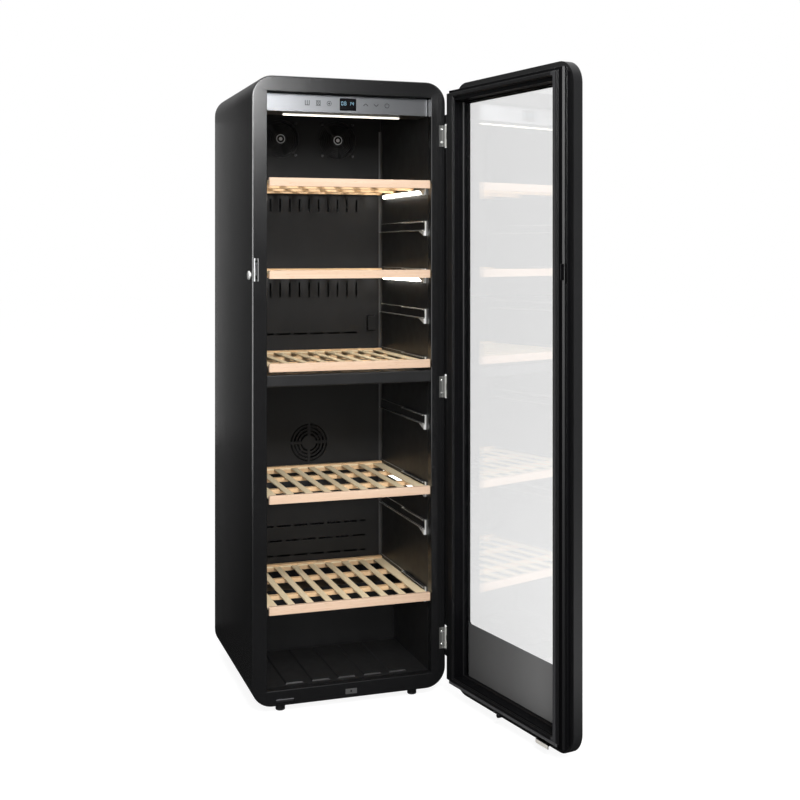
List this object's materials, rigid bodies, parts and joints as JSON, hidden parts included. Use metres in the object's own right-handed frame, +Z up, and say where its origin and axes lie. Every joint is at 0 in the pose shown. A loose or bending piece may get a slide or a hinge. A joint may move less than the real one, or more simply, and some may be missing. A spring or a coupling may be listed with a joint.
{
  "type": "wine cooler",
  "caption": "Tall free-standing two-zone wine cooler with rounded corners, a swinging double-glazed door, sliding slatted wooden shelves, a side lock and fan-cooled compartments.",
  "frame": {"origin": "on the floor, under the centre of the cabinet's footprint", "axes": "+Z up, -Y out of the open front, +X to the right of someone facing the front"},
  "size_m": [0.7632, 1.1902, 1.85],
  "materials": {
    "black_enamel": "satin",
    "door_enamel": "satin",
    "foam": "matte",
    "liner_plastic": "satin",
    "dark_plastic": "matte",
    "grey_plastic": "satin",
    "black_rubber": "matte",
    "fin_aluminium": "satin",
    "lamp_plastic": "gloss",
    "zinc": "satin",
    "door_glass": "gloss",
    "beech": "satin"
  },
  "bodies": {
    "cabinet": {"front_frame": "black_enamel", "outer_shell": "black_enamel", "insulation_foam": "foam", "inner_liner": "liner_plastic", "rear_panel": "black_enamel", "rear_cover": "dark_plastic", "cord_gland": "black_rubber", "base_plate": "black_enamel", "compressor_mounts": "black_rubber", "compressor": "black_enamel", "drip_tray": "dark_plastic", "condenser": "fin_aluminium", "upper_air_panel": "liner_plastic", "lower_air_panel": "liner_plastic", "corner_trims": "grey_plastic", "evaporators": "fin_aluminium", "fan_housings": "dark_plastic", "upper_fan_guards": "dark_plastic", "sensor_cover": "liner_plastic", "control_housing": "liner_plastic", "control_fascia": "fin_aluminium", "display_window": "dark_plastic", "ceiling_lamp": "lamp_plastic", "zone_divider": "liner_plastic", "wall_rails": "liner_plastic", "rail_brackets": "zinc", "side_lamps": "lamp_plastic", "hinge_cabinet_leaves": "zinc", "hinge_pins": "zinc", "hinge_strips": "dark_plastic", "lock_case": "zinc", "catch_plate": "zinc", "rest_ramp": "zinc", "feet": "black_rubber"},
    "door": {"door_skin": "door_enamel", "outer_pane": "door_glass", "inner_pane": "door_glass", "pane_spacer": "fin_aluminium", "door_core": "door_enamel", "door_inner_frame": "door_enamel", "door_gasket": "black_rubber", "hinge_door_leaves": "zinc", "catch_stud": "zinc", "rest_bracket": "zinc"},
    "lock": {"lock_knob": "zinc", "lock_hook": "zinc"},
    "upper_left_fan": {"upper_left_fan_rotor": "dark_plastic"},
    "upper_right_fan": {"upper_right_fan_rotor": "dark_plastic"},
    "lower_fan": {"lower_fan_rotor": "dark_plastic"},
    "shelf_1": {"shelf_1_front": "beech", "shelf_1_deck": "beech"},
    "shelf_2": {"shelf_2_front": "beech", "shelf_2_deck": "beech"},
    "shelf_3": {"shelf_3_front": "beech", "shelf_3_deck": "beech"},
    "shelf_4": {"shelf_4_front": "beech", "shelf_4_deck": "beech"},
    "shelf_5": {"shelf_5_front": "beech", "shelf_5_deck": "beech"}
  },
  "joints": [
    {"name": "door_hinge", "type": "hinge", "parent": "cabinet", "child": "door", "pos_m": [0.3, -0.3098, 0.93], "axis": [0, 0, 1], "range_deg": [-100, 20]},
    {"name": "lock_turn", "type": "hinge", "parent": "cabinet", "child": "lock", "pos_m": [-0.2845, -0.28, 1.272], "axis": [1, 0, 0], "range_deg": [0, 90]},
    {"name": "shelf_1_slide", "type": "slide", "parent": "cabinet", "child": "shelf_1", "axis": [0, -1, 0], "range_m": [0, 0.28]},
    {"name": "shelf_2_slide", "type": "slide", "parent": "cabinet", "child": "shelf_2", "axis": [0, -1, 0], "range_m": [0, 0.28]},
    {"name": "shelf_3_slide", "type": "slide", "parent": "cabinet", "child": "shelf_3", "axis": [0, -1, 0], "range_m": [0, 0.28]},
    {"name": "shelf_4_slide", "type": "slide", "parent": "cabinet", "child": "shelf_4", "axis": [0, -1, 0], "range_m": [0, 0.28]},
    {"name": "shelf_5_slide", "type": "slide", "parent": "cabinet", "child": "shelf_5", "axis": [0, -1, 0], "range_m": [0, 0.28]},
    {"name": "upper_left_fan_spin", "type": "hinge", "parent": "cabinet", "child": "upper_left_fan", "pos_m": [-0.098, 0.21, 1.712], "axis": [0, -1, 0], "continuous": true},
    {"name": "upper_right_fan_spin", "type": "hinge", "parent": "cabinet", "child": "upper_right_fan", "pos_m": [0.098, 0.21, 1.712], "axis": [0, -1, 0], "continuous": true},
    {"name": "lower_fan_spin", "type": "hinge", "parent": "cabinet", "child": "lower_fan", "pos_m": [0, 0.21, 0.704], "axis": [0, -1, 0], "continuous": true}
  ]
}
